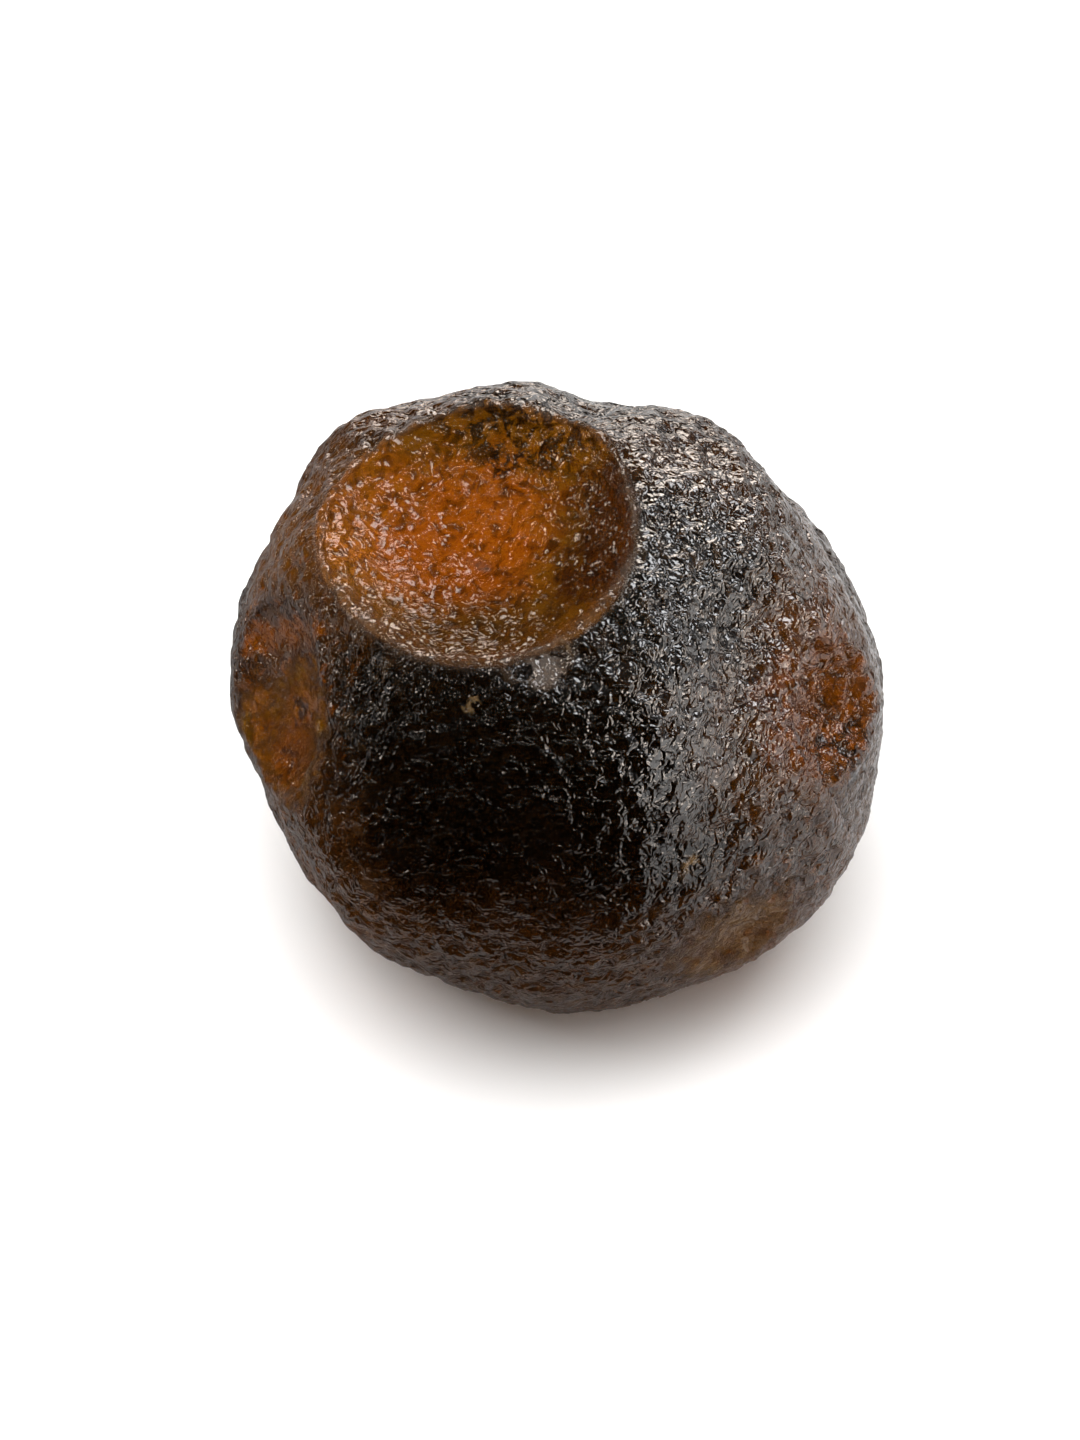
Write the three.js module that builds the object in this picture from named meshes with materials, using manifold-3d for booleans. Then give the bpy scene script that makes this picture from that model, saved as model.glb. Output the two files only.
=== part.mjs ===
// An australite tektite core: one rounded lump of dark brown natural glass, about the size of a walnut.
// It fell as a molten drop and lost its skin in flight and in the ground, so the lump carries broad swellings
// and flutes, bowl-shaped scars where flakes sprang off, and a skin that is finely dimpled all over.
//
// Millimetres, +Z up. The stone lies on a small worn flat, and the origin is the bottom centre of its box.
// Directions from the middle of the stone are given as [bearing, height] in degrees: the bearing runs from +X
// towards +Y, and the height is the angle above the horizon.

import * as THREE from 'three';
import { ImprovedNoise } from 'three/addons/math/ImprovedNoise.js';
import { mergeVertices } from 'three/addons/utils/BufferGeometryUtils.js';
import Module from 'manifold-3d';

// ---------------------------------------------------------------- driving dimensions

const LENGTH = 33.1; // along X, before the scars
const DEPTH = 31.4; // along Y, before the scars
const HEIGHT = 31.6; // along Z, before the resting flat is worn off
const FLAT_WEAR = 0.9; // how much of the height the resting flat has lost
const FACET_EDGE = 0.92; // side of one triangle of the skin
const SLIVER = 0.005; // the cuts leave no triangle thinner than this

// Flow forms of the lump. Each one follows the arc between two directions, or stays round where they agree.
// reach is how many degrees it fades over, and rise how far it lifts the skin; a flute has a negative rise.
const FLOW_FORMS = [
  { name: 'left shoulder', from: [136, 34], to: [136, 28], reach: 11, rise: 0.9 },
  { name: 'left flat', from: [164, 20], to: [152, 14], reach: 11, rise: -0.5 },
  { name: 'back saddle', from: [76, 62], to: [76, 36], reach: 9, rise: -1.1 },
  { name: 'brow ridge', from: [40, 46], to: [-8, 52], reach: 8, rise: 0.5 },
  { name: 'flute under the brow', from: [54, 34], to: [14, 20], reach: 11, rise: -1.05 },
  { name: 'long flute', from: [-30, 46], to: [-58, 18], reach: 10, rise: -1.0 },
  { name: 'crown', from: [-60, 62], to: [-80, 36], reach: 16, rise: 0.5 },
  { name: 'right heel', from: [-31, -18], to: [-40, -24], reach: 14, rise: 0.85 },
  { name: 'right hollow', from: [-30, 36], to: [-38, 24], reach: 11, rise: -0.5 },
  { name: 'front left flat', from: [-172, -10], to: [-120, -36], reach: 17, rise: -1.4 },
  { name: 'left waist', from: [-156, -2], to: [-142, -7], reach: 9, rise: -0.75 },
  { name: 'front left foot', from: [-124, -19], to: [-112, -25], reach: 7, rise: 0.45 },
  { name: 'under the heel', from: [-50, -32], to: [-42, -28], reach: 8, rise: -0.35 },
];

// Bowl scars, each bitten out by a ball: at is the spot on the skin, faces is the way the bowl opens,
// radius is the ball's, bite is how deep it goes below the old skin, and rough is the relief of its floor.
// Where the ball is not round, long is how many times longer it is along its long axis, and turn is how many
// degrees that axis is turned from +Y towards -X.
const SCARS = [
  {
    name: 'great bowl', at: [-176, 75], faces: [-165, 75],
    radius: 9.2, long: 1.2, turn: 30, bite: 5.6, rough: 0.3,
  },
  { name: 'left bowl', at: [-155, 21], faces: [-162, 19], radius: 5.2, bite: 2.4, rough: 0.25 },
  { name: 'ledge scar', at: [-156, 35], faces: [-168, -8], radius: 7.0, bite: 0.9, rough: 0.25 },
  { name: 'right bowl', at: [-25, 23], faces: [-18, 26], radius: 4.4, bite: 1.9, rough: 0.4 },
  { name: 'heel scar', at: [-53, -9], faces: [-60, -14], radius: 6.5, bite: 0.6, rough: 0.3 },
  { name: 'front pit', at: [-65, 15], faces: [-80, 30], radius: 2.6, bite: 0.35, rough: 0.15 },
  { name: 'rim chip', at: [-92, 56], faces: [-120, 60], radius: 2.2, bite: 0.35, rough: 0.2 },
  { name: 'back bowl', at: [70, 5], faces: [72, 8], radius: 8.0, bite: 2.8, rough: 0.25 },
  { name: 'back left bowl', at: [150, -16], faces: [150, -14], radius: 6.0, bite: 1.8, rough: 0.2 },
];

// Relief of the worn skin: wave is the size of one swell, height is its amplitude.
const SKIN_RELIEF = [
  { wave: 8.0, height: 0.45 },
  { wave: 3.6, height: 0.22 },
];

// ---------------------------------------------------------------- helpers

const MIDDLE_HEIGHT = HEIGHT / 2 - FLAT_WEAR; // of the lump's middle above the surface it lies on
const noise = new ImprovedNoise();

/** The unit vector of a [bearing, height] direction. */
function direction([bearing, height]) {
  const b = THREE.MathUtils.degToRad(bearing);
  const h = THREE.MathUtils.degToRad(height);
  return new THREE.Vector3(Math.cos(h) * Math.cos(b), Math.cos(h) * Math.sin(b), Math.sin(h));
}

/** The plain egg that the lump is built on: its radius along a unit vector. */
function eggRadius(way) {
  return 1 / Math.hypot((2 * way.x) / LENGTH, (2 * way.y) / DEPTH, (2 * way.z) / HEIGHT);
}

/** How far one flow form lifts the skin along a unit vector. */
function lift({ from, to, reach, rise }, way) {
  const arc = new THREE.Line3(direction(from), direction(to));
  const nearest = arc.closestPointToPoint(way, true, new THREE.Vector3());
  const off = THREE.MathUtils.radToDeg(nearest.angleTo(way));
  return rise * Math.exp(-((off / reach) ** 2));
}

/** Relief at a point, as swells of the given waves and heights. */
function relief(point, swells) {
  return swells.reduce(
    (sum, { wave, height }) => sum + height * noise.noise(point.x / wave, point.y / wave, point.z / wave),
    0,
  );
}

/** A closed ball of even triangles, each point at the radius that radiusAt gives for its direction. */
function ball(size, radiusAt) {
  const icosahedronEdgeArc = 1.107; // radians between neighbouring corners
  const detail = Math.max(2, Math.round((icosahedronEdgeArc * size) / FACET_EDGE) - 1);
  const raw = new THREE.IcosahedronGeometry(1, detail);
  raw.deleteAttribute('normal');
  raw.deleteAttribute('uv');
  const geometry = mergeVertices(raw);
  const points = geometry.attributes.position;
  const way = new THREE.Vector3();
  for (let i = 0; i < points.count; i++) {
    way.fromBufferAttribute(points, i).normalize();
    way.multiplyScalar(radiusAt(way));
    points.setXYZ(i, way.x, way.y, way.z);
  }
  return geometry;
}

const wasm = await Module();
wasm.setup();

/** A closed geometry as a solid that can be cut. */
function solid(geometry) {
  const mesh = new wasm.Mesh({
    numProp: 3,
    vertProperties: geometry.attributes.position.array,
    triVerts: new Uint32Array(geometry.index.array),
  });
  return new wasm.Manifold(mesh);
}

/** A solid as a flat-shaded geometry. */
function geometryOf(cut) {
  const { vertProperties, triVerts } = cut.getMesh();
  const geometry = new THREE.BufferGeometry();
  geometry.setAttribute('position', new THREE.BufferAttribute(vertProperties, 3));
  geometry.setIndex(new THREE.BufferAttribute(triVerts, 1));
  return geometry.toNonIndexed();
}

// ---------------------------------------------------------------- the stone

/** The worn lump before any flake sprang off, with its middle at the origin. */
function lump() {
  const radiusAt = (way) => {
    const egg = eggRadius(way);
    const flow = FLOW_FORMS.reduce((sum, form) => sum + lift(form, way), 0);
    return egg + flow + relief(way.clone().multiplyScalar(egg), SKIN_RELIEF);
  };
  return ball(DEPTH / 2, radiusAt);
}

/** The ball that bites out one scar, in its place against the lump. */
function scarCutter({ at, faces, radius, bite, rough, long = 1, turn = 0 }) {
  const skin = direction(at).multiplyScalar(eggRadius(direction(at)));
  const centre = skin.addScaledVector(direction(faces), radius - bite);
  const floorSwells = [{ wave: 2.4, height: rough }];
  const longAxis = direction([90 + turn, 0]);
  const radiusAt = (way) => {
    const along = way.dot(longAxis);
    const across = way.clone().addScaledVector(longAxis, -along).length();
    const smooth = radius / Math.hypot(along / long, across);
    const onFloor = way.clone().multiplyScalar(smooth).add(centre);
    return smooth + relief(onFloor, floorSwells);
  };
  return ball(radius, radiusAt).translate(centre.x, centre.y, centre.z);
}

/** The block that wears the resting flat off the underside. */
function flatCutter() {
  const side = 2 * Math.max(LENGTH, DEPTH);
  const block = new THREE.BoxGeometry(side, side, side);
  block.deleteAttribute('normal');
  block.deleteAttribute('uv');
  return mergeVertices(block.translate(0, 0, -MIDDLE_HEIGHT - side / 2));
}

/** The whole stone, moved so that its bounding box stands centred on the origin. */
function tektiteGeometry() {
  const cutters = [...SCARS.map(scarCutter), flatCutter()];
  const stone = cutters.reduce((left, cutter) => left.subtract(solid(cutter)), solid(lump()));
  const geometry = geometryOf(stone.simplify(SLIVER));
  geometry.computeBoundingBox();
  const middle = geometry.boundingBox.getCenter(new THREE.Vector3());
  geometry.translate(-middle.x, -middle.y, -geometry.boundingBox.min.z);
  geometry.computeVertexNormals();
  return geometry;
}

const darkGlass = new THREE.MeshStandardMaterial({ color: '#24170f', roughness: 0.35, metalness: 0 });

const tektite = new THREE.Mesh(tektiteGeometry(), darkGlass);
tektite.name = 'tektite';

const part = new THREE.Group();
part.name = 'australite_tektite';
part.add(tektite);

export default part;
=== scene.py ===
"""An australite tektite lying on a pale table: a rounded lump of dark natural glass with bowl-shaped scars.

Everything is in metres in the row's frame, apart from the bench work on the stone's skin, which is done in
millimetres and scaled back.
"""
import logging
import math
from dataclasses import dataclass, field
from enum import Enum

import bmesh
import bpy
from mathutils import Matrix, Vector, kdtree, noise


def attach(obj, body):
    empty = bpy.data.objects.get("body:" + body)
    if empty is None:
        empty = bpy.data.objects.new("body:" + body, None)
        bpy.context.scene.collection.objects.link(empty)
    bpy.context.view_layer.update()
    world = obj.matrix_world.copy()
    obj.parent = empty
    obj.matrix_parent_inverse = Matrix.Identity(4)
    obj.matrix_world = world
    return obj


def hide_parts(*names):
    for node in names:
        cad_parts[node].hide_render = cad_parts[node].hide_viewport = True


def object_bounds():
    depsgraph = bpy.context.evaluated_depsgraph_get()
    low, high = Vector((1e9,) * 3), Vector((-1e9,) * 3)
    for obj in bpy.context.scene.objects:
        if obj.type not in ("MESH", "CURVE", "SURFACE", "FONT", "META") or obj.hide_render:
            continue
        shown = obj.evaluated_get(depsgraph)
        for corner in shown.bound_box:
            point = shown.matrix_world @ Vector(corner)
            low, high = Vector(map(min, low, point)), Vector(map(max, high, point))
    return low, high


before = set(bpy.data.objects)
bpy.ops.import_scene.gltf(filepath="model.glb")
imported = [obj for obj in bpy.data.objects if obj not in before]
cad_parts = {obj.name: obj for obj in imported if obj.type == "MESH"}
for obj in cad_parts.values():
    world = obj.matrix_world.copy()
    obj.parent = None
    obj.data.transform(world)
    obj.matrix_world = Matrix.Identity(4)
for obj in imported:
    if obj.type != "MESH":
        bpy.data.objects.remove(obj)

CAD_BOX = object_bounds()
MM = 0.001  # metres in a millimetre
HOLD_FADE = 0.6  # millimetres over which the mesh's relief changes at the edge of a scar
FULL_SWING = 2.0  # times a noise from 0 to 1, which then swings by 1 to either side of its middle at most
USUAL_SWING = 4.0  # the same for the half of it about the middle, where it mostly keeps
NOISE_MIDDLE = 0.5
SOFT = 1.0  # detail of a noise with soft lobes
BROKEN = 2.0  # detail of a noise with uneven lobes
FRAYED = 4.0  # detail of a noise whose lobes fray into ever finer ones
RIM = "rim"  # the skin's attribute that is 1 on the edge of the great bowl: it splinters the relief there and lays on the painted highlight

log = logging.getLogger("tektite")

Colour = bpy.types.NodeSocket | tuple[float, float, float, float]


class Tint(Enum):
    """Colours of the glass and of what clings to it, as sRGB hex."""

    BULK = 0x060301  # thick glass, where hardly any light comes back
    SHADE = 0x402406  # thick glass nearer the light
    UMBER = 0x281606  # thick glass low down, over the bright table
    DUSK = 0x2A1808  # thick glass at the back and low on the sides
    BROWN = 0x744006  # the thinner flanks
    TAN = 0x885008  # the thin shoulder beside the deep bowl
    RUSSET = 0x3E240E  # the wrinkled glass behind a ledge
    EMBER = 0xA85606  # thin glass right under the ledge, and the thinnest spots in the small bowls
    FOXY = 0x84400C  # the skin beside the right bowl
    RUST = 0x7A420C  # thin spots between the wrinkles of thicker glass
    AMBER = 0xDC6A02  # the lit floor of the deep bowl
    COPPER = 0xD87C0C  # its left side
    OLIVE = 0x9E6204  # the rest of the deep bowl
    HAZEL = 0x805014  # its near side, which faces away from the light
    GARNET = 0x482002  # its right side, where the glass gets thicker, and the bowl on the back
    MOSS = 0x6A4C10  # the shallow scar low on the right
    GOLD = 0xB07604  # the left bowl, thin against the pale table
    SIENNA = 0x9E5206  # the lumpy floor of the right bowl
    GREY_HIGHLIGHT = 0x968C84  # painted highlight: pale grey on the splintered edge of the deep bowl, its near wall and a chip
    CREST_HIGHLIGHT = 0x9A8064  # painted highlight: the crests of the etched skin painted paler
    BUFF = 0xA08A66  # dried clay in the pits
    BOUNCE = 0xFFF4EA  # light that comes back off the walls of the room
    LAMP = 0xFFF2E6  # the softboxes that show in the gloss
    WINDOW = 0xF6F7FB  # the largest of them, which are cooler
    CARD = 0x000000  # black studio paper


def linear(tint: Tint) -> tuple[float, float, float, float]:
    """A tint as linear RGBA.

    Args:
        tint: the sRGB colour.

    Returns:
        Linear red, green, blue and an alpha of 1.
    """
    channels = [((tint.value >> shift) & 0xFF) / 255 for shift in (16, 8, 0)]
    curve = [c / 12.92 if c <= 0.04045 else ((c + 0.055) / 1.055) ** 2.4 for c in channels]
    return (*curve, 1.0)


def add_node(
    tree: bpy.types.NodeTree, kind: str, settings: dict[str, str] | None = None, **inputs: object
) -> bpy.types.Node:
    """Adds a shader node with its settings, values and links.

    Args:
        tree: the node tree that gets the node.
        kind: the node's type, without the leading "ShaderNode".
        settings: the node's own properties.
        inputs: a socket to link from, or a value, for each input. Its name is written with underscores for
            spaces, or as in0, in1 and so on for an input's place.

    Returns:
        The new node.
    """
    node = tree.nodes.new("ShaderNode" + kind)
    for name, value in (settings or {}).items():
        setattr(node, name, value)
    for name, value in inputs.items():
        by_place = name[:2] == "in" and name[2:].isdigit()
        socket = node.inputs[int(name[2:])] if by_place else node.inputs[name.replace("_", " ")]
        if isinstance(value, bpy.types.NodeSocket):
            tree.links.new(value, socket)
        else:
            socket.default_value = value
    return node


@dataclass(frozen=True)
class Patch:
    """A ball that tints the skin inside it, in millimetres in the row's frame."""

    centre: tuple[float, float, float]
    radius: float
    tint: Tint = Tint.BULK
    fade: float = 0.35  # how wide the edge is
    ragged: float = 0.3  # how far the edge wanders
    long: float = 1.0  # how many times longer the ball is along its long axis
    turn: float = 0.0  # degrees from +Y towards -X to the long axis

    def off(self, point: Vector) -> float:
        """How far a point is from the middle, as if the ball were round."""
        away = Matrix.Rotation(-math.radians(self.turn), 3, "Z") @ (point - Vector(self.centre))
        away.y /= self.long
        return away.length

    def holds(self, point: Vector) -> float:
        """How far a point is inside the patch: 1 well inside it, 0 outside it."""
        return min(1.0, max(0.0, (self.radius - self.off(point)) / HOLD_FADE + 0.5))

    def misses(self, point: Vector) -> float:
        """How far a point is from the patch's ball, in millimetres."""
        return abs(self.off(point) - self.radius)


# The solid middle of the front, where the glass is thickest and the crests get no painted highlight.
HEART = Patch((-1.8, -14.8, 22.8), 9.7, Tint.BULK, fade=4.5, ragged=2.0)
BODY = (
    Patch((0.0, 13.5, 9.0), 12.0, Tint.DUSK, fade=7.0, ragged=3.0),
    Patch((13.5, 3.5, 12.0), 10.0, Tint.DUSK, fade=6.0, ragged=3.0),
    Patch((-13.5, 3.5, 11.0), 10.0, Tint.DUSK, fade=6.0, ragged=3.0),
    Patch((-3.0, -15.0, 23.0), 13.5, Tint.SHADE, fade=5.0, ragged=2.5),
    Patch((4.0, 2.0, 31.0), 9.5, Tint.SHADE, fade=5.0, ragged=2.5),
    HEART,
    Patch((5.5, -5.0, 29.5), 6.0, Tint.BULK, fade=4.0, ragged=2.0),
    Patch((2.0, 15.0, 20.0), 10.0, Tint.BULK, fade=5.0, ragged=3.0),
    Patch((0.0, 0.0, 0.0), 11.0, Tint.BULK, fade=6.0, ragged=3.0),
    Patch((-12.5, 3.0, 24.5), 4.5, Tint.TAN, fade=4.0, ragged=1.5),
    Patch((-8.0, -9.6, 24.8), 4.2, Tint.BULK, fade=3.0, ragged=1.5),
    Patch((-1.0, -14.0, 8.0), 9.0, Tint.UMBER, fade=6.0, ragged=2.0),
    Patch((10.0, -12.0, 14.0), 6.0, Tint.UMBER, fade=6.0, ragged=2.0),
    Patch((6.4, -13.4, 18.5), 2.2, Tint.BULK, fade=2.5, ragged=1.0),
    Patch((12.2, -6.6, 21.5), 2.6, Tint.FOXY, fade=3.0, ragged=1.2),
)
WINDWARD = Patch((6.5, -6.5, 28.0), 9.0, fade=8.0, ragged=1.5)  # polished, and not tinted
LEFT_BOWL = Patch((-16.57, -7.20, 21.66), 5.4, Tint.GOLD, fade=0.9, ragged=0.7)
IN_LEFT_BOWL = Patch((-13.0, -6.0, 18.4), 1.9, Tint.EMBER, fade=2.2, ragged=1.4)
LEDGE = Patch((-18.28, -6.60, 23.34), 7.3, Tint.RUSSET, fade=1.2, ragged=0.8)
UNDER_LEDGE = (
    Patch((-14.9, -1.2, 20.4), 0.5, Tint.EMBER, fade=0.9, ragged=0.8),
    Patch((-14.0, -1.6, 21.0), 0.7, Tint.EMBER, fade=0.9, ragged=0.8),
    Patch((-13.4, -2.0, 21.7), 0.5, Tint.RUST, fade=0.9, ragged=0.8),
    Patch((-12.9, -2.4, 22.3), 0.6, Tint.EMBER, fade=0.9, ragged=0.8),
    Patch((-12.2, -3.0, 23.4), 0.7, Tint.EMBER, fade=0.9, ragged=0.8),
    Patch((-11.7, -3.6, 24.2), 0.5, Tint.RUST, fade=0.9, ragged=0.8),
    Patch((-11.3, -4.2, 24.9), 0.5, Tint.EMBER, fade=0.9, ragged=0.8),
)
RIGHT_BOWL = Patch((15.48, -6.98, 22.36), 4.6, Tint.SIENNA, fade=0.9, ragged=1.1)
HEEL_SCAR = Patch((12.12, -17.52, 10.97), 6.7, Tint.MOSS, fade=1.6, ragged=1.4)
BACK_BOWL = Patch((6.72, 19.73, 17.00), 8.2, Tint.GARNET, fade=1.2, ragged=0.6)
BACK_LEFT_BOWL = Patch((-17.33, 9.91, 9.40), 6.2, Tint.RUST, fade=1.2, ragged=0.6)
IN_BACK_BOWLS = (
    Patch((5.0, 12.5, 14.0), 2.4, Tint.EMBER, fade=3.5, ragged=1.8),
    Patch((-12.5, 7.0, 8.0), 1.8, Tint.EMBER, fade=3.0, ragged=1.8),
)
FRESH_SCARS = (LEFT_BOWL, HEEL_SCAR)  # with the great bowl, the least etched
THIN_SPOTS = (
    LEDGE, *UNDER_LEDGE, RIGHT_BOWL, *FRESH_SCARS, IN_LEFT_BOWL, BACK_BOWL, BACK_LEFT_BOWL, *IN_BACK_BOWLS,
)
CELLED = (LEFT_BOWL, RIGHT_BOWL)  # their floors are a mosaic of thin and thick cells
GREAT_BOWL = Patch((-5.23, -0.48, 33.69), 9.45, Tint.OLIVE, fade=0.2, ragged=0.15, long=1.2, turn=30)
IN_GREAT_BOWL = (
    Patch((-9.5, 2.0, 26.0), 3.6, Tint.COPPER, fade=3.5, ragged=1.5),
    Patch((-4.6, 1.4, 24.8), 4.6, Tint.AMBER, fade=4.5, ragged=1.5),
    Patch((-4.5, -7.0, 26.5), 4.6, Tint.HAZEL, fade=4.0, ragged=1.5),
    Patch((4.0, -1.5, 28.5), 4.8, Tint.GARNET, fade=3.5, ragged=1.5),
)
# Painted shade: where the dark flecks crowd together, on the deep bowl's far wall, under the ledge and in the
# right bowl's crevices.
SHADED_FLECKS = (
    Patch((-0.5, 9.5, 29.0), 6.5, Tint.BULK, fade=3.0, ragged=1.0),
    Patch((-12.6, -4.6, 19.6), 1.3, Tint.BULK, fade=1.6, ragged=1.0),
    Patch((13.4, -6.5, 17.4), 2.8, Tint.BULK, fade=2.0, ragged=1.0),
    Patch((3.5, 7.0, 29.0), 3.0, Tint.BULK, fade=3.0, ragged=1.0),
)
# Where thin spots glow between the wrinkles.
EMBERS = (
    Patch((-12.3, -4.5, 21.5), 4.5, Tint.EMBER, fade=4.0, ragged=1.0),
    Patch((-12.0, -9.5, 14.0), 4.5, Tint.RUST, fade=4.0, ragged=1.0),
    Patch((-12.5, 2.0, 24.0), 4.0, Tint.EMBER, fade=3.0, ragged=1.0),
    Patch((11.0, -11.0, 12.0), 5.0, Tint.RUST, fade=5.0, ragged=1.0),
)
# Dried clay in the pits, and a chip in front of the great bowl painted pale grey as a painted highlight.
CLAY_AND_HIGHLIGHT = (
    Patch((-4.17, -10.20, 26.55), 0.5, Tint.BUFF, fade=0.3, ragged=0.2),
    Patch((0.57, -8.25, 28.79), 0.5, Tint.BUFF, fade=0.3, ragged=0.2),
    Patch((-0.61, -9.10, 27.60), 1.1, Tint.GREY_HIGHLIGHT, fade=0.6, ragged=0.5),
    Patch((6.37, -13.45, 18.47), 0.5, Tint.BUFF, fade=0.3, ragged=0.3),
)


@dataclass(frozen=True)
class EtchedGlass:
    """Natural silica glass, chilled from a melt and etched by soil water.

    Thick glass gives the eye near-black; scars and thin places glow amber; the etched skin breaks a window's
    light into short bright wrinkles. Its crests are also painted paler, as a painted highlight, and its
    grooves darker, as painted shade.
    """

    name: str = "etched_natural_glass"
    ior: float = 1.5
    roughness: float = 0.14
    rubbed: tuple[float, float] = (-0.04, 0.08)  # what its smoothest and its roughest clouds add to that
    rub_noise: tuple[float, float] = (0.3, 0.7)  # the noise at either of them
    clear: float = 0.85  # share of the light that goes on into the glass
    gloss: float = 0.5  # specular level of the old skin, where 0.5 is plain glass
    gloss_in_scars: float = 0.18  # the same on the floors of the fresh scars
    polish: float = 0.65  # coat weight of the rind that the wind polished, on the windward side
    polish_ior: float = 1.75  # of that rind

    dimple_mm: float = 0.7  # across one etch dimple
    dimple_depth_mm: float = 0.17
    wrinkle_mm: float = 0.55  # between two winding wrinkles
    wrinkle_depth_mm: float = 0.2
    grit_mm: float = 0.2  # across one grain of the finest etching
    grit_depth_mm: float = 0.012
    splinter_mm: float = 0.4  # across one splinter of the great bowl's rim
    splinter_depth_mm: float = 0.35
    calm_in_scars: float = 0.85  # share of the relief on the floors of the fresh scars
    spread_in_scars: float = 1.3  # how much wider it is there

    # Painted shade: a groove is painted darker from the first height and darkest at the second. Painted
    # highlight: a crest is painted paler likewise.
    groove_mm: tuple[float, float] = (0.05, -0.01)
    groove_shade_depth: float = 0.6
    crest_mm: tuple[float, float] = (0.08, 0.15)
    crest_highlight: float = 0.17

    # Each pattern's size, the noise where it starts and where it is full, and how strongly it shows there.
    cloud_mm: float = 6.0  # across one cloud of paler glass
    cloud_noise: tuple[float, float] = (0.4, 0.65)
    fleck_mm: float = 0.75  # across one dark fleck in the thin glass
    fleck_grit: float = 0.6  # share of the fleck that each finer octave keeps
    fleck_twist: float = 0.6  # how far it is drawn out, in flecks
    fleck_noise: tuple[float, float] = (0.52, 0.68)
    fleck_depth: float = 0.6
    fleck_shade_noise: tuple[float, float] = (0.47, 0.55)  # of the same flecks where they crowd, as painted shade
    fleck_shade_depth: float = 0.9
    ember_mm: float = 0.6  # across one thin spot between the wrinkles
    ember_noise: tuple[float, float] = (0.42, 0.32)
    ember_glow: float = 0.7
    cell_mm: float = 1.1  # across one cell of thinner glass on the floor of a small scar
    cell_noise: tuple[float, float] = (0.35, 0.6)
    cell_glow: float = 0.65
    cell_stray: float = 1.2  # how far the cells stray from a plain mosaic, in cells
    seam_width: float = 0.14  # of the dark seam between two cells, in cells
    seam_depth: float = 0.75
    wander_mm: float = 1.6  # across one lobe of a patch's ragged edge
    wander_grit: float = 0.65  # share of the lobe that each finer octave keeps
    crumb_and_highlight_noise: tuple[float, float] = (0.5, 0.53)  # of the clay in the pits, and of the chip's painted highlight
    rim_highlight_noise: tuple[float, float] = (0.45, 0.56)  # of the painted highlight on the splintered rim
    rim_highlight: tuple[float, float] = (0.3, 0.85)  # how strong that painted highlight is where it is least and most

    def build(self) -> bpy.types.Material:
        """Makes the material.

        Returns:
            The finished material.
        """
        material = bpy.data.materials.new(self.name)
        material.use_nodes = True
        tree = material.node_tree
        tree.nodes.clear()
        place = add_node(tree, "TexCoord").outputs["Object"]
        bench = add_node(tree, "Mapping", in0=place, Scale=(1 / MM,) * 3).outputs[0]  # millimetres
        wander = add_node(tree, "TexNoise", Vector=bench, Scale=1 / self.wander_mm, Detail=FRAYED,
                          Roughness=self.wander_grit).outputs[0]
        patches = (*BODY, *THIN_SPOTS, *IN_GREAT_BOWL, *SHADED_FLECKS, *EMBERS, *CLAY_AND_HIGHLIGHT, GREAT_BOWL, WINDWARD)
        masks = {patch: self.inside(tree, bench, wander, patch) for patch in patches}
        fresh = masks[GREAT_BOWL]
        for patch in FRESH_SCARS:
            fresh = add_node(tree, "Math", {"operation": "MAXIMUM"}, in0=fresh, in1=masks[patch]).outputs[0]
        height = self.skin_height(tree, bench, fresh)
        colour = self.glass_colour(tree, bench, wander, masks)
        # Painted shade: the grooves of the relief are painted darker.
        shallow, deep = self.groove_mm
        groove_shade = add_node(tree, "MapRange", Value=height, in1=shallow, in2=deep, in3=0.0,
                          in4=self.groove_shade_depth).outputs[0]
        colour = self.tinted(tree, groove_shade, colour, linear(Tint.BULK))
        # Painted highlight: the crests are painted paler, except on the fresh scars and in the thick middle.
        kept = add_node(tree, "Math", {"operation": "MAXIMUM"}, in0=fresh, in1=masks[HEART]).outputs[0]
        crest_highlight_share = add_node(tree, "MapRange", Value=kept, in3=self.crest_highlight, in4=0.0).outputs[0]
        low, high = self.crest_mm
        crest = add_node(tree, "MapRange", Value=height, in1=low, in2=high, in3=0.0, in4=crest_highlight_share).outputs[0]
        colour = self.tinted(tree, crest, colour, linear(Tint.CREST_HIGHLIGHT))
        bump = add_node(tree, "Bump", Strength=1.0, Distance=MM, Height=height).outputs[0]
        rough = add_node(tree, "TexNoise", Vector=bench, Scale=1 / self.cloud_mm, Detail=FRAYED).outputs[0]
        start, full = self.rub_noise
        smoothest, roughest = self.rubbed
        rough = add_node(tree, "MapRange", Value=rough, in1=start, in2=full, in3=self.roughness + smoothest,
                         in4=self.roughness + roughest).outputs[0]
        old = add_node(tree, "MapRange", Value=fresh, in3=self.polish, in4=0.0).outputs[0]
        polish = add_node(tree, "Math", {"operation": "MULTIPLY"}, in0=old, in1=masks[WINDWARD]).outputs[0]
        gloss = add_node(tree, "MapRange", Value=fresh, in3=self.gloss, in4=self.gloss_in_scars).outputs[0]
        shader = add_node(tree, "BsdfPrincipled", Base_Color=colour, Roughness=rough, IOR=self.ior,
                          Normal=bump, Transmission_Weight=self.clear, Specular_IOR_Level=gloss,
                          Coat_Weight=polish, Coat_IOR=self.polish_ior, Coat_Roughness=self.roughness,
                          Coat_Normal=bump)
        add_node(tree, "OutputMaterial", Surface=shader.outputs[0])
        return material

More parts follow.
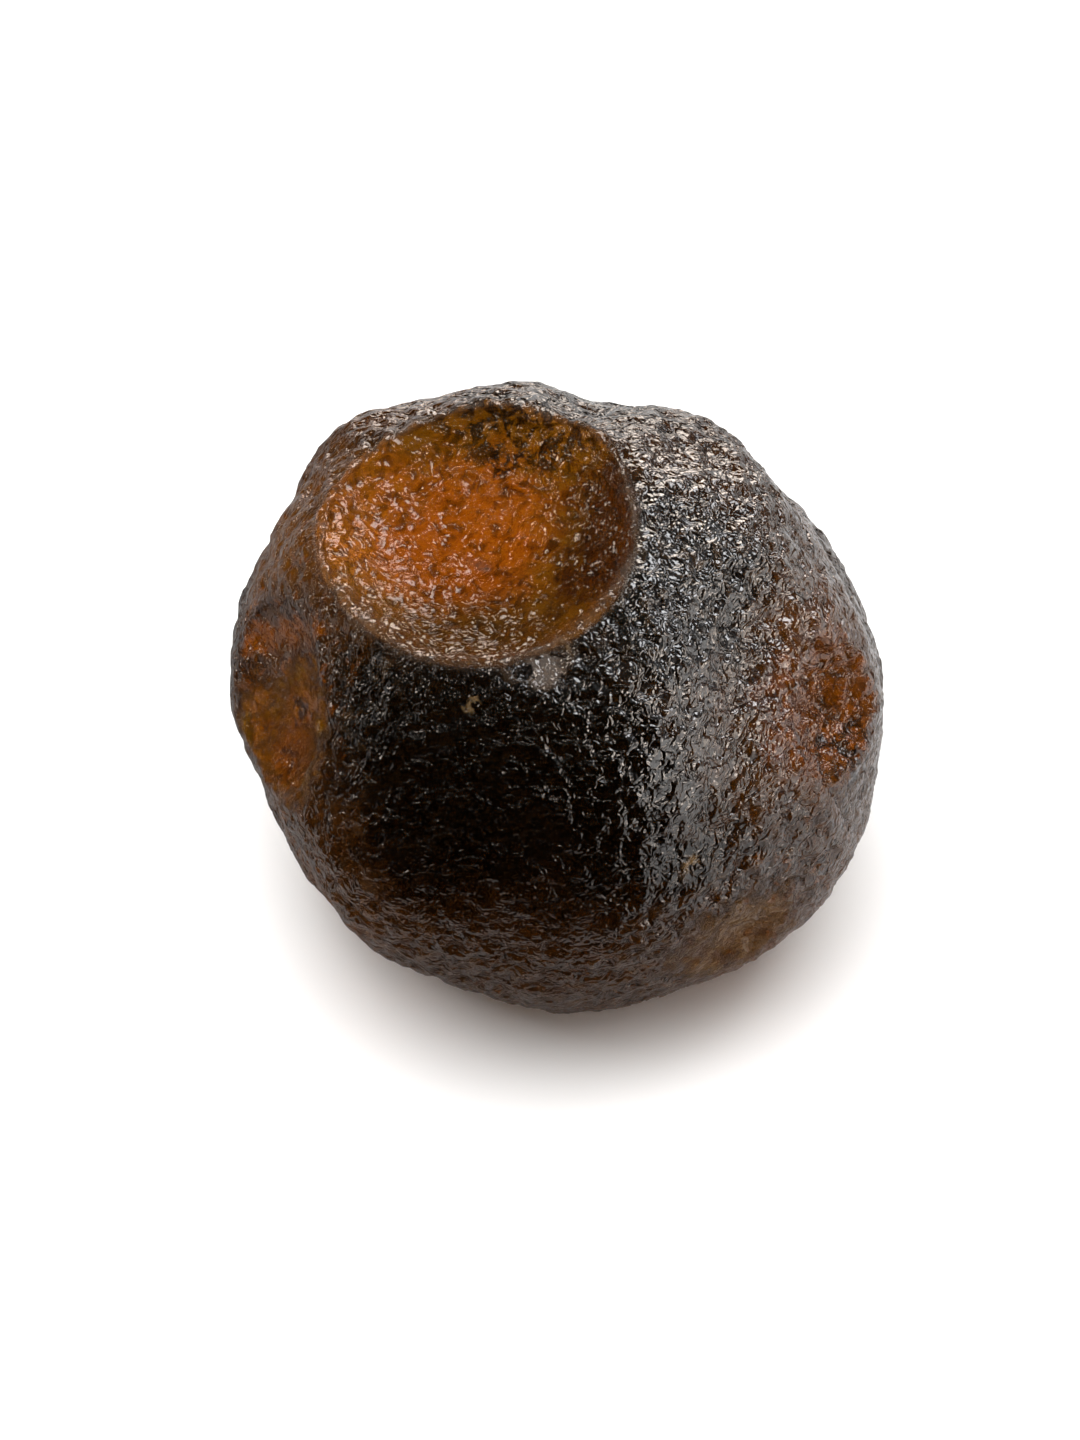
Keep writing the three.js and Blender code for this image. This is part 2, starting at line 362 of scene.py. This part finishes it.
    def skin_height(
        self, tree: bpy.types.NodeTree, bench: bpy.types.NodeSocket, fresh: bpy.types.NodeSocket
    ) -> bpy.types.NodeSocket:
        """Adds the etched relief that is finer than the mesh.

        Args:
            tree: the material's node tree.
            bench: the place on the stone in millimetres.
            fresh: 1 on the floors of the scars and 0 on the old skin.

        Returns:
            The height in millimetres.
        """
        spread = add_node(tree, "MapRange", Value=fresh, in3=1.0, in4=1 / self.spread_in_scars).outputs[0]
        bench = add_node(tree, "VectorMath", {"operation": "SCALE"}, in0=bench, Scale=spread).outputs[0]
        sway = add_node(tree, "TexNoise", Vector=bench, Scale=1 / self.dimple_mm,
                        Detail=SOFT).outputs["Color"]
        sway = add_node(tree, "VectorMath", {"operation": "SUBTRACT"}, in0=sway,
                        in1=(NOISE_MIDDLE,) * 3).outputs[0]
        swayed = add_node(tree, "VectorMath", {"operation": "MULTIPLY_ADD"}, in0=sway,
                          in1=(self.dimple_mm,) * 3, in2=bench).outputs[0]
        dimples = add_node(tree, "TexVoronoi", Vector=swayed, Scale=1 / self.dimple_mm).outputs["Distance"]
        swells = add_node(tree, "TexNoise", Vector=swayed, Scale=1 / self.wrinkle_mm, Detail=SOFT).outputs[0]
        swells = add_node(tree, "Math", {"operation": "SUBTRACT"}, in0=swells, in1=NOISE_MIDDLE).outputs[0]
        folds = add_node(tree, "Math", {"operation": "ABSOLUTE"}, in0=swells).outputs[0]
        grit = add_node(tree, "TexNoise", Vector=bench, Scale=1 / self.grit_mm, Detail=SOFT).outputs[0]
        height = add_node(tree, "Math", {"operation": "MULTIPLY"}, in0=dimples,
                          in1=self.dimple_depth_mm).outputs[0]
        height = add_node(tree, "Math", {"operation": "MULTIPLY_ADD"}, in0=folds,
                          in1=-FULL_SWING * self.wrinkle_depth_mm, in2=height).outputs[0]
        height = add_node(tree, "Math", {"operation": "MULTIPLY_ADD"}, in0=grit,
                          in1=FULL_SWING * self.grit_depth_mm, in2=height).outputs[0]
        calm = add_node(tree, "MapRange", Value=fresh, in3=1.0, in4=self.calm_in_scars).outputs[0]
        height = add_node(tree, "Math", {"operation": "MULTIPLY"}, in0=height, in1=calm).outputs[0]
        splinters = add_node(tree, "TexVoronoi", Vector=bench, Scale=1 / self.splinter_mm).outputs["Distance"]
        rim = add_node(tree, "Attribute", {"attribute_name": RIM}).outputs["Fac"]
        rim = add_node(tree, "Math", {"operation": "MULTIPLY"}, in0=rim,
                       in1=self.splinter_depth_mm).outputs[0]
        return add_node(tree, "Math", {"operation": "MULTIPLY_ADD"}, in0=splinters, in1=rim,
                        in2=height).outputs[0]

    def inside(
        self,
        tree: bpy.types.NodeTree,
        bench: bpy.types.NodeSocket,
        wander: bpy.types.NodeSocket,
        patch: Patch,
    ) -> bpy.types.NodeSocket:
        """Adds a mask that is 1 inside a patch and 0 outside it.

        Args:
            tree: the material's node tree.
            bench: the place on the stone in millimetres.
            wander: a noise from 0 to 1 that moves the edge.
            patch: the patch.

        Returns:
            The mask, from 0 to 1.
        """
        away = add_node(tree, "Mapping", {"vector_type": "TEXTURE"}, Vector=bench, Location=patch.centre,
                        Rotation=(0, 0, math.radians(patch.turn)), Scale=(1, patch.long, 1)).outputs[0]
        off = add_node(tree, "VectorMath", {"operation": "LENGTH"}, in0=away).outputs["Value"]
        off = add_node(tree, "Math", {"operation": "MULTIPLY_ADD"}, in0=wander,
                       in1=USUAL_SWING * patch.ragged, in2=off).outputs[0]
        edge = patch.radius + USUAL_SWING * NOISE_MIDDLE * patch.ragged
        return add_node(tree, "MapRange", {"interpolation_type": "SMOOTHSTEP"}, Value=off,
                        in1=edge - patch.fade / 2, in2=edge + patch.fade / 2, in3=1.0, in4=0.0).outputs[0]

    def tinted(
        self, tree: bpy.types.NodeTree, factor: bpy.types.NodeSocket, under: Colour, over: Colour
    ) -> bpy.types.NodeSocket:
        """Adds a mix of two colours, each a socket or a plain colour.

        Args:
            tree: the material's node tree.
            factor: how much of the second colour shows, from 0 to 1.
            under: the first colour.
            over: the second colour.

        Returns:
            The mixed colour.
        """
        return add_node(tree, "Mix", {"data_type": "RGBA"}, Factor=factor, in6=under, in7=over).outputs[2]

    def glass_colour(
        self,
        tree: bpy.types.NodeTree,
        bench: bpy.types.NodeSocket,
        wander: bpy.types.NodeSocket,
        masks: dict[Patch, bpy.types.NodeSocket],
    ) -> bpy.types.NodeSocket:
        """Adds the colour of the glass, from near-black in the bulk to amber in the scars.

        Args:
            tree: the material's node tree.
            bench: the place on the stone in millimetres.
            wander: a noise from 0 to 1 that breaks up the clay, the chip's painted highlight and the painted
                highlight on the splintered rim.
            masks: where each patch shows.

        Returns:
            The colour.
        """
        stray = add_node(tree, "TexNoise", Vector=bench, Scale=1 / self.cell_mm,
                         Detail=BROKEN).outputs["Color"]
        strayed = add_node(tree, "VectorMath", {"operation": "MULTIPLY_ADD"}, in0=stray,
                           in1=(self.cell_stray * self.cell_mm,) * 3, in2=bench).outputs[0]
        start, full = self.cloud_noise
        clouds = add_node(tree, "TexNoise", Vector=bench, Scale=1 / self.cloud_mm, Detail=FRAYED).outputs[0]
        clouds = add_node(tree, "MapRange", Value=clouds, in1=start, in2=full).outputs[0]
        colour = self.tinted(tree, clouds, linear(Tint.SHADE), linear(Tint.BROWN))
        for patch in (*BODY, *THIN_SPOTS):
            colour = self.tinted(tree, masks[patch], colour, linear(patch.tint))
        colour = self.celled(tree, strayed, masks, colour)
        bowl = linear(GREAT_BOWL.tint)
        for patch in IN_GREAT_BOWL:
            bowl = self.tinted(tree, masks[patch], bowl, linear(patch.tint))
        colour = self.tinted(tree, masks[GREAT_BOWL], colour, bowl)
        colour = self.flecked(tree, bench, masks, colour)
        start, full = self.ember_noise
        embers = add_node(tree, "TexNoise", Vector=strayed, Scale=1 / self.ember_mm, Detail=BROKEN).outputs[0]
        embers = add_node(tree, "MapRange", Value=embers, in1=start, in2=full, in3=0.0,
                          in4=self.ember_glow).outputs[0]
        for patch in EMBERS:
            here = add_node(tree, "Math", {"operation": "MULTIPLY"}, in0=embers, in1=masks[patch]).outputs[0]
            colour = self.tinted(tree, here, colour, linear(patch.tint))
        start, full = self.crumb_and_highlight_noise
        crumbs_and_highlight = add_node(tree, "MapRange", Value=wander, in1=start, in2=full).outputs[0]
        for patch in CLAY_AND_HIGHLIGHT:
            here = add_node(tree, "Math", {"operation": "MULTIPLY"}, in0=crumbs_and_highlight, in1=masks[patch]).outputs[0]
            colour = self.tinted(tree, here, colour, linear(patch.tint))
        # Painted highlight: the splintered rim and the near wall beside it are painted pale grey.
        start, full = self.rim_highlight_noise
        least, most = self.rim_highlight
        rim = add_node(tree, "Attribute", {"attribute_name": RIM}).outputs["Fac"]
        rim_highlight = add_node(tree, "MapRange", Value=wander, in1=start, in2=full, in3=least, in4=most).outputs[0]
        rim = add_node(tree, "Math", {"operation": "MULTIPLY"}, in0=rim, in1=rim_highlight).outputs[0]
        return self.tinted(tree, rim, colour, linear(Tint.GREY_HIGHLIGHT))

    def celled(
        self,
        tree: bpy.types.NodeTree,
        strayed: bpy.types.NodeSocket,
        masks: dict[Patch, bpy.types.NodeSocket],
        colour: bpy.types.NodeSocket,
    ) -> bpy.types.NodeSocket:
        """Adds cells of thinner glass with dark seams on the floors of the small bowls.

        Args:
            tree: the material's node tree.
            strayed: the place on the stone in millimetres, led astray.
            masks: where each patch shows.
            colour: the colour so far.

        Returns:
            The new colour.
        """
        start, full = self.cell_noise
        cells = add_node(tree, "TexVoronoi", Vector=strayed, Scale=1 / self.cell_mm).outputs["Color"]
        cells = add_node(tree, "MapRange", Value=cells, in1=start, in2=full, in3=0.0,
                         in4=self.cell_glow).outputs[0]
        seams = add_node(tree, "TexVoronoi", {"feature": "DISTANCE_TO_EDGE"}, Vector=strayed,
                         Scale=1 / self.cell_mm).outputs["Distance"]
        seams = add_node(tree, "MapRange", Value=seams, in1=0.0, in2=self.seam_width, in3=self.seam_depth,
                         in4=0.0).outputs[0]
        for patch in CELLED:
            here = add_node(tree, "Math", {"operation": "MULTIPLY"}, in0=cells, in1=masks[patch]).outputs[0]
            colour = self.tinted(tree, here, colour, linear(Tint.EMBER))
            here = add_node(tree, "Math", {"operation": "MULTIPLY"}, in0=seams, in1=masks[patch]).outputs[0]
            colour = self.tinted(tree, here, colour, linear(Tint.BULK))
        return colour

    def flecked(
        self,
        tree: bpy.types.NodeTree,
        bench: bpy.types.NodeSocket,
        masks: dict[Patch, bpy.types.NodeSocket],
        colour: bpy.types.NodeSocket,
    ) -> bpy.types.NodeSocket:
        """Adds dark flecks, which crowd together as painted shade in some patches.

        Args:
            tree: the material's node tree.
            bench: the place on the stone in millimetres.
            masks: where each patch shows.
            colour: the colour so far.

        Returns:
            The new colour.
        """
        flecks = add_node(tree, "TexNoise", Vector=bench, Scale=1 / self.fleck_mm, Detail=FRAYED,
                          Roughness=self.fleck_grit, Distortion=self.fleck_twist).outputs[0]
        start, full = self.fleck_noise
        dark = add_node(tree, "MapRange", Value=flecks, in1=start, in2=full, in3=0.0,
                        in4=self.fleck_depth).outputs[0]
        # Painted shade: the flecks crowd together in the shaded patches.
        start, full = self.fleck_shade_noise
        fleck_shade = add_node(tree, "MapRange", Value=flecks, in1=start, in2=full, in3=0.0,
                        in4=self.fleck_shade_depth).outputs[0]
        for patch in SHADED_FLECKS:
            here = add_node(tree, "Math", {"operation": "MULTIPLY"}, in0=fleck_shade, in1=masks[patch]).outputs[0]
            dark = add_node(tree, "Math", {"operation": "MAXIMUM"}, in0=dark, in1=here).outputs[0]
        return self.tinted(tree, dark, colour, linear(Tint.BULK))


def by_ray(
    tree: bpy.types.NodeTree, seen: float, in_gloss: bpy.types.NodeSocket | float, through_glass: float
) -> bpy.types.NodeSocket:
    """Adds a value that differs with how the stage is looked at.

    Args:
        tree: the node tree that gets the nodes.
        seen: the value for the eye and for matt surfaces.
        in_gloss: the value in a glossy reflection.
        through_glass: the value for light that comes through the stone.

    Returns:
        The value.
    """
    path = add_node(tree, "LightPath")
    glossy = path.outputs["Is Glossy Ray"]
    through = path.outputs["Is Transmission Ray"]
    outside = add_node(tree, "MapRange", Value=glossy, in3=seen, in4=in_gloss).outputs[0]
    return add_node(tree, "Mix", {"data_type": "FLOAT"}, Factor=through, in2=outside,
                    in3=through_glass).outputs[0]


@dataclass(frozen=True)
class TableTop:
    """Matt white laminate: an even pale ground that only takes a soft shadow."""

    name: str = "matt_laminate"
    roughness: float = 0.9
    albedo: float = 0.93
    albedo_in_gloss: float = 0.68  # the gloss sees a darker table
    albedo_on_card: float = 0.25  # and darker still on the front left, as if a black card lay there
    card_turn: float = math.radians(-60)  # of the card's edge from the X axis
    card_edge: tuple[float, float] = (-0.004, 0.024)  # metres past the stone's middle where it fades out

    def build(self) -> bpy.types.Material:
        """Makes the material.

        Returns:
            The finished material.
        """
        material = bpy.data.materials.new(self.name)
        material.use_nodes = True
        tree = material.node_tree
        shader = tree.nodes["Principled BSDF"]
        place = add_node(tree, "TexCoord").outputs["Object"]
        place = add_node(tree, "Mapping", {"vector_type": "TEXTURE"}, Vector=place,
                         Rotation=(0, 0, self.card_turn)).outputs[0]
        along = add_node(tree, "SeparateXYZ", in0=place).outputs["Y"]
        start, end = self.card_edge
        carded = add_node(tree, "MapRange", Value=along, in1=start, in2=end, in3=self.albedo_on_card,
                          in4=self.albedo_in_gloss).outputs[0]
        albedo = by_ray(tree, self.albedo, carded, self.albedo)
        white = add_node(tree, "CombineColor", in0=albedo, in1=albedo, in2=albedo).outputs[0]
        tree.links.new(white, shader.inputs["Base Color"])
        shader.inputs["Roughness"].default_value = self.roughness
        shader.inputs["Specular IOR Level"].default_value = 0.0
        return material


@dataclass(frozen=True)
class BlackPaper:
    """Matt black studio paper, which gives the gloss of the stone something dark to show."""

    name: str = "matt_black_paper"

    def build(self) -> bpy.types.Material:
        """Makes the material.

        Returns:
            The finished material.
        """
        material = bpy.data.materials.new(self.name)
        material.use_nodes = True
        shader = material.node_tree.nodes["Principled BSDF"]
        shader.inputs["Base Color"].default_value = linear(Tint.CARD)
        shader.inputs["Specular IOR Level"].default_value = 0.0
        return material


@dataclass
class Stone:
    """The stone: the CAD solid with its facets rounded off and its skin etched. Sizes in millimetres."""

    node: str = "tektite"
    weld: float = 0.002  # corners of the CAD solid that are closer than this are one
    rim_angle: float = math.radians(20)  # an edge sharper than this is the rim of a scar
    rim_steps: int = 4  # into how many a rim's edge is cut when distances to it are measured
    rounding: int = 2  # times that each facet is divided and rounded
    grain: float = 0.224  # side of one face of the finished skin
    soften: float = 0.5  # how far each point of the open skin moves to the middle of its neighbours
    seed: int = 5  # of the sway of the dimples

    swell: float = 2.6  # across one swell
    swell_height: float = 0.09
    dimple: float = 1.0  # across one large dimple
    dimple_depth: float = 0.42
    crest: float = 0.8  # crests between dimples are cut off at this share of the depth
    level: float = 0.45  # share of the depth that is level with the plain skin
    sway: float = 0.35  # how far the dimples sway, in dimples
    sway_wave: float = 0.9  # across one lobe of that, in dimples
    lump: float = 1.3  # across one lump on the floor of the right bowl
    lump_height: float = 1.1
    lump_level: float = 0.25  # share of the lumps that is level with the plain floor

    lip: float = 0.05  # how far a rim stands above the skin beside it
    lip_reach: float = 0.17
    chip: float = 0.5  # across one notch of a rim
    chip_depth: float = 0.45
    rim_reach: float = 0.45  # how far a rim's notches reach
    rim_band: float = 0.9  # skin this close to the great bowl's ball can be its rim
    scuff_and_sheen: float = 0.6  # how splintered the great bowl's floor is beside its rim, on the near side, and how strongly it is painted pale there as a painted sheen
    scuff_and_sheen_reach: float = 0.9
    scuff_and_sheen_before: float = -3.0  # along Y
    foot: float = 0.25  # the skin below this height stays plain, so that the stone lies flat
    finish: EtchedGlass = field(default_factory=EtchedGlass)

    def rounded(self) -> tuple[bpy.types.Mesh, kdtree.KDTree]:
        """Copies the CAD solid at bench size, rounds its facets and remeshes it evenly.

        Returns:
            The new mesh in millimetres, and the points of the scars' rims.
        """
        shape = bmesh.new()
        shape.from_mesh(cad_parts[self.node].data)
        bmesh.ops.scale(shape, vec=(1 / MM,) * 3, verts=shape.verts)
        bmesh.ops.remove_doubles(shape, verts=shape.verts, dist=self.weld)
        crease = shape.edges.layers.float.new("crease_edge")
        rims = []
        for edge in shape.edges:
            if edge.is_manifold and edge.calc_face_angle() > self.rim_angle:
                edge[crease] = 1.0
                start, end = (vert.co for vert in edge.verts)
                rims += [start.lerp(end, step / self.rim_steps) for step in range(self.rim_steps + 1)]
        tree = kdtree.KDTree(len(rims))
        for index, point in enumerate(rims):
            tree.insert(point, index)
        tree.balance()
        mesh = bpy.data.meshes.new("bench_stone")
        shape.to_mesh(mesh)
        shape.free()
        bench = bpy.data.objects.new("bench_stone", mesh)
        bpy.context.scene.collection.objects.link(bench)
        rounder = bench.modifiers.new("soften", "SUBSURF")
        rounder.levels = rounder.render_levels = self.rounding
        even = bench.modifiers.new("even", "REMESH")
        even.mode = "VOXEL"
        even.voxel_size = self.grain
        done = bpy.data.meshes.new_from_object(bench.evaluated_get(bpy.context.evaluated_depsgraph_get()))
        bpy.data.objects.remove(bench)
        bpy.data.meshes.remove(mesh)
        return done, tree

    def relief(self, point: Vector, to_rim: float) -> float:
        """The etched relief of the skin, about the plain skin.

        Args:
            point: a place on the stone.
            to_rim: how far the nearest rim of a scar is.

        Returns:
            The height in millimetres.
        """
        sway = noise.noise_vector(point / (self.sway_wave * self.dimple))
        swayed = point + self.sway * self.dimple * sway
        swells = self.swell_height * noise.noise(point / self.swell)
        height = min(noise.voronoi(swayed / self.dimple)[0][0], self.crest)
        dimples = self.dimple_depth * (height - self.level)
        lump = abs(noise.noise(point / self.lump)) - self.lump_level
        lumps = self.lump_height * RIGHT_BOWL.holds(point) * lump
        on_rim = math.exp(-((to_rim / self.lip_reach) ** 2))
        notch = max(0.0, noise.noise(point / self.chip))
        notches = -self.chip_depth * notch * math.exp(-((to_rim / self.rim_reach) ** 2))
        return (swells + dimples) * (1.0 - on_rim) + lumps + self.lip * on_rim + notches

    def build(self) -> bpy.types.Object:
        """Makes the stone and dresses it.

        Returns:
            The finished stone, at the origin.
        """
        noise.seed_set(self.seed)
        mesh, rims = self.rounded()
        shape = bmesh.new()
        shape.from_mesh(mesh)
        bpy.data.meshes.remove(mesh)
        open_skin = [vert for vert in shape.verts if rims.find(vert.co)[2] > self.rim_reach]
        bmesh.ops.smooth_vert(
            shape, verts=open_skin, factor=self.soften, use_axis_x=True, use_axis_y=True, use_axis_z=True
        )
        shape.normal_update()
        rim = shape.verts.layers.float.new(RIM)
        low, high = (Vector(corner) / MM for corner in CAD_BOX)
        for vert in shape.verts:
            to_rim = rims.find(vert.co)[2]
            grown = min(1.0, max(0.0, vert.co.z / self.foot - 1.0))
            if GREAT_BOWL.misses(vert.co) < self.rim_band:
                vert[rim] = math.exp(-((to_rim / self.lip_reach) ** 2))
            # Near side of the great bowl's floor: splintered relief, and a painted sheen of pale grey.
            if vert.co.y < self.scuff_and_sheen_before:
                scuff_and_sheen_here = math.exp(-((to_rim / self.scuff_and_sheen_reach) ** 2)) * GREAT_BOWL.holds(vert.co)
                vert[rim] = max(vert[rim], self.scuff_and_sheen * scuff_and_sheen_here)
            moved = vert.co + vert.normal * grown * self.relief(vert.co, to_rim)
            vert.co = [min(max(at, least), most) for at, least, most in zip(moved, low, high)]
        bmesh.ops.scale(shape, vec=(MM,) * 3, verts=shape.verts)
        for face in shape.faces:
            face.smooth = True
        skin = bpy.data.meshes.new("stone")
        shape.to_mesh(skin)
        shape.free()
        skin.materials.append(self.finish.build())
        stone = bpy.data.objects.new("stone", skin)
        bpy.context.scene.collection.objects.link(stone)
        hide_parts(self.node)
        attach(stone, "root")
        log.info("stone: %d faces", len(skin.polygons))
        return stone


@dataclass(frozen=True)
class Softbox:
    """A square softbox that faces the stone. Sizes in metres, angles in degrees."""

    name: str
    bearing: float  # from +X towards +Y
    height: float  # above the horizon
    side: float
    radiance: float
    distance: float = 0.36
    tint: Tint = Tint.LAMP  # as the gloss shows it: the one that lights the stone is plain white
    lights_surfaces: bool = False  # whether it lights matt surfaces, or only shows in gloss
    shows_in_gloss: bool = True


@dataclass
class Studio:
    """The pale table, the lights and the camera. Sizes in metres."""

    table_side: float = 3.0
    elevation: float = math.radians(50)
    distance: float = 0.3
    lens_mm: float = 150.0
    film_mm: float = 36.0
    near: float = 0.01  # nothing nearer to the camera than this is seen
    aim_shift: tuple[float, float] = (-0.00085, -0.00125)  # right and up, from the middle of the stone
    dome: float = 0.3  # radiance of the white surround
    room: float = 0.05  # radiance of the room that the gloss sees between the softboxes
    backdrop: float = 3.5  # radiance of the surround as it comes through the stone
    softboxes: tuple[Softbox, ...] = (
        Softbox("ceiling", -115, 83, 0.40, 6.5, lights_surfaces=True, shows_in_gloss=False),
        Softbox("key", 36, 49, 0.18, 7.0, tint=Tint.WINDOW),
        Softbox("core", 36, 49, 0.05, 20.0),
        Softbox("halo", 20, 42, 0.40, 0.25, tint=Tint.WINDOW),
        Softbox("spark", 198, 66, 0.05, 11.0),
        Softbox("front", -105, 68, 0.035, 17.0),
        Softbox("glint", 193, 30, 0.045, 19.0),
        Softbox("back", 86, 12, 0.20, 8.0),
        Softbox("left", 160, 9, 0.07, 11.0),
        Softbox("side", -8, 3, 0.20, 3.0),
        Softbox("fill", -30, 3, 0.12, 8.0),
    )
    drum_radius: float = 0.024
    drum_height: float = 0.04
    drum_from: float = math.radians(205)  # bearing of its first edge
    drum_turn: float = math.radians(95)  # how far it goes round from there
    drum_steps: int = 36

    def table(self) -> bpy.types.Object:
        """Makes the table top.

        Returns:
            The table top, as a piece of the stage.
        """
        shape = bmesh.new()
        bmesh.ops.create_grid(shape, x_segments=1, y_segments=1, size=self.table_side / 2)
        mesh = bpy.data.meshes.new("table")
        shape.to_mesh(mesh)
        shape.free()
        mesh.materials.append(TableTop().build())
        table = bpy.data.objects.new("table", mesh)
        bpy.context.scene.collection.objects.link(table)
        return table

    def drum(self) -> None:
        """Stands a low quarter of a black drum on the front left, which only the stone's gloss sees."""
        shape = bmesh.new()
        start = Matrix.Rotation(self.drum_from, 3, "Z") @ Vector((self.drum_radius, 0, 0))
        foot = shape.verts.new(start)
        head = shape.verts.new(start + Vector((0, 0, self.drum_height)))
        edge = shape.edges.new((foot, head))
        bmesh.ops.spin(
            shape,
            geom=[foot, head, edge],
            cent=(0, 0, 0),
            axis=(0, 0, 1),
            angle=self.drum_turn,
            steps=self.drum_steps,
        )
        mesh = bpy.data.meshes.new("drum")
        shape.to_mesh(mesh)
        shape.free()
        mesh.materials.append(BlackPaper().build())
        drum = bpy.data.objects.new("drum", mesh)
        bpy.context.scene.collection.objects.link(drum)
        drum.visible_camera = drum.visible_diffuse = drum.visible_shadow = False
        drum.visible_transmission = drum.visible_volume_scatter = False

    def surround(self) -> None:
        """Adds the white surround, which the gloss sees as a dim room."""
        scene = bpy.context.scene
        scene.world = bpy.data.worlds.new("surround")
        scene.world.use_nodes = True
        tree = scene.world.node_tree
        background = tree.nodes["Background"]
        background.inputs["Color"].default_value = linear(Tint.BOUNCE)
        tree.links.new(by_ray(tree, self.dome, self.room, self.backdrop), background.inputs["Strength"])

    def light(self, box: Softbox, middle: Vector) -> None:
        """Hangs one softbox.

        Args:
            box: the softbox.
            middle: the middle of the stone.
        """
        lamp = bpy.data.lights.new(box.name, "AREA")
        lamp.shape = "SQUARE"
        lamp.size = box.side
        lamp.energy = box.radiance * math.pi * box.side**2  # what a matt panel of that radiance gives off
        if box.shows_in_gloss:
            lamp.color = linear(box.tint)[:3]
        raised = Matrix.Rotation(-math.radians(box.height), 3, "Y") @ Vector((1, 0, 0))
        way = Matrix.Rotation(math.radians(box.bearing), 3, "Z") @ raised
        hung = bpy.data.objects.new(box.name, lamp)
        hung.location = middle + way * box.distance
        hung.rotation_euler = way.to_track_quat("Z", "Y").to_euler()
        hung.visible_diffuse = box.lights_surfaces
        hung.visible_glossy = box.shows_in_gloss
        hung.visible_transmission = False
        bpy.context.scene.collection.objects.link(hung)

    def camera(self, middle: Vector) -> None:
        """Sets the camera, looking down on the stone from the front.

        Args:
            middle: the middle of the stone.
        """
        back = Vector((0, -math.cos(self.elevation), math.sin(self.elevation)))
        up = Vector((0, math.sin(self.elevation), math.cos(self.elevation)))
        lens = bpy.data.cameras.new("camera")
        lens.lens = self.lens_mm
        lens.sensor_fit = "VERTICAL"
        lens.sensor_height = self.film_mm
        lens.clip_start = self.near
        camera = bpy.data.objects.new("camera", lens)
        aim = middle + Vector((self.aim_shift[0], 0, 0)) + up * self.aim_shift[1]
        camera.location = aim + back * self.distance
        camera.rotation_euler = back.to_track_quat("Z", "Y").to_euler()
        bpy.context.scene.collection.objects.link(camera)
        bpy.context.scene.camera = camera

    def build(self) -> None:
        """Makes the stage round the stone."""
        low, high = CAD_BOX
        middle = (Vector(low) + Vector(high)) / 2
        self.table()
        self.drum()
        self.surround()
        for box in self.softboxes:
            self.light(box, middle)
        self.camera(middle)
        bpy.context.scene.view_settings.view_transform = "Standard"
        log.info("studio: %d softboxes, camera %.0f mm away", len(self.softboxes), self.distance / MM)


def main() -> None:
    """Builds the stone and its studio."""
    logging.basicConfig(level=logging.INFO)
    Stone().build()
    Studio().build()


if __name__ == "__main__":
    main()
